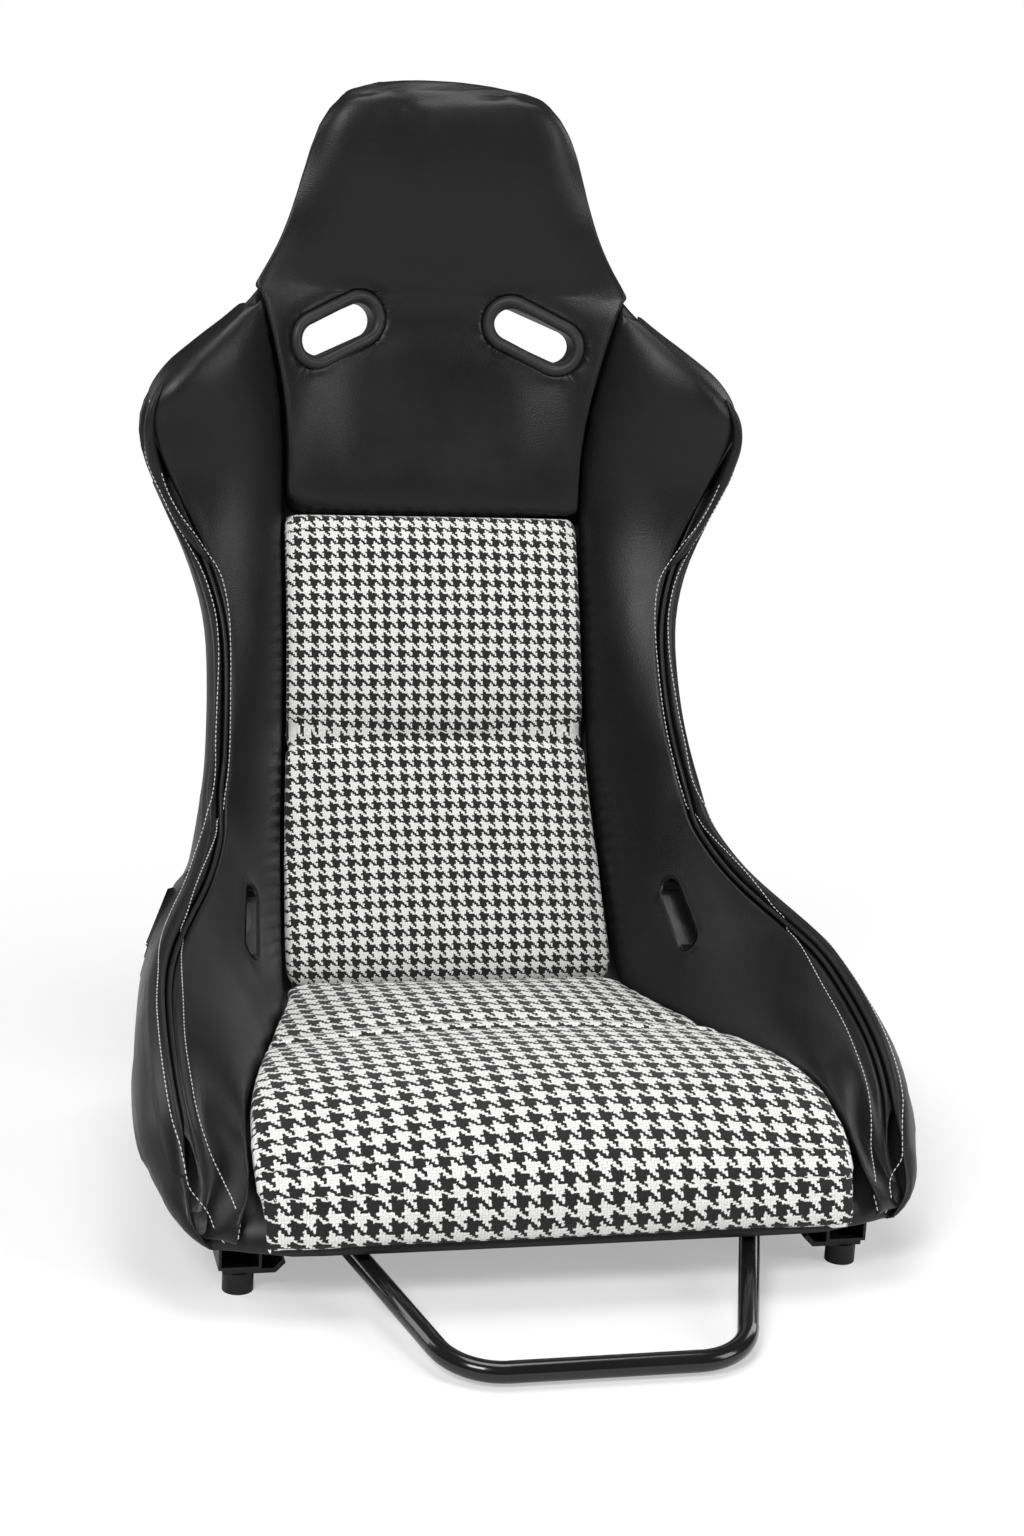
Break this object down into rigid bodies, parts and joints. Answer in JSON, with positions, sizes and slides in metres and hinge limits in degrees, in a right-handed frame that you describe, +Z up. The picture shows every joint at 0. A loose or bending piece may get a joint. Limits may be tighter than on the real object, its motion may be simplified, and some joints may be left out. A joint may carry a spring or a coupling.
{
  "type": "racing bucket seat",
  "caption": "Fixed-back bucket seat with belt slots, padded wings and cloth cushions on slide rails with a sprung release bar.",
  "frame": {"origin": "on the floor, midway between the four floor bolts", "axes": "+Z up, the sitter faces -Y, the seat is symmetric about x = 0 with the sitter's left at +X"},
  "size_m": [0.5816, 0.7708, 0.8249],
  "materials": {
    "rail_steel": "satin",
    "coated_steel": "satin",
    "spacer_alloy": "machined",
    "zinc_steel": "satin",
    "black_fastener": "black oxide",
    "insert_brass": "machined",
    "pale_plastic": "moulded",
    "shell_plastic": "satin moulded",
    "black_leather": "fine grain, soft sheen",
    "houndstooth_cloth": "woven houndstooth",
    "hook_tape": "hook and loop",
    "bezel_plastic": "fine texture",
    "gloss_black": "gloss",
    "spring_steel": "bright"
  },
  "bodies": {
    "floor_rails": {"lower_rail_right": "rail_steel", "lower_rail_left": "rail_steel", "foot_brackets": "coated_steel", "floor_spacers": "coated_steel", "travel_stops": "zinc_steel"},
    "seat": {"upper_rail_right": "rail_steel", "upper_rail_left": "rail_steel", "glide_shoes": "pale_plastic", "stop_pins": "zinc_steel", "rail_brackets": "coated_steel", "rail_bolts": "black_fastener", "rail_nuts": "zinc_steel", "levelling_blocks": "spacer_alloy", "shell_inserts": "insert_brass", "shell_bolts": "black_fastener", "pivot_ears": "coated_steel", "pivot_bushes": "pale_plastic", "ear_screws": "black_fastener", "shell": "shell_plastic", "wing_pad_right": "black_leather", "wing_pad_left": "black_leather", "head_pad": "black_leather", "back_cushion": "houndstooth_cloth", "seat_cushion": "houndstooth_cloth", "grip_tapes": "hook_tape", "edge_trim_right": "black_leather", "edge_trim_left": "black_leather", "edge_welt_right": "black_leather", "edge_welt_left": "black_leather", "belt_bezel_right": "bezel_plastic", "belt_bezel_left": "bezel_plastic", "rear_bezel_right": "bezel_plastic", "rear_bezel_left": "bezel_plastic", "bezel_screws": "black_fastener", "lap_trim_right": "bezel_plastic", "lap_trim_left": "bezel_plastic"},
    "release_bar": {"release_bar": "gloss_black", "latch_claws": "zinc_steel", "return_springs": "spring_steel"}
  },
  "joints": [
    {"name": "seat_slide", "type": "slide", "parent": "floor_rails", "child": "seat", "axis": [0, 1, 0], "range_m": [-0.08, 0.08]},
    {"name": "bar_lift", "type": "hinge", "parent": "seat", "child": "release_bar", "pos_m": [0, -0.14, 0.041], "axis": [-1, 0, 0], "range_deg": [0, 4], "stiffness_Nm_per_rad": 8, "springref_deg": -8.59, "deforming": ["return_springs"]}
  ]
}
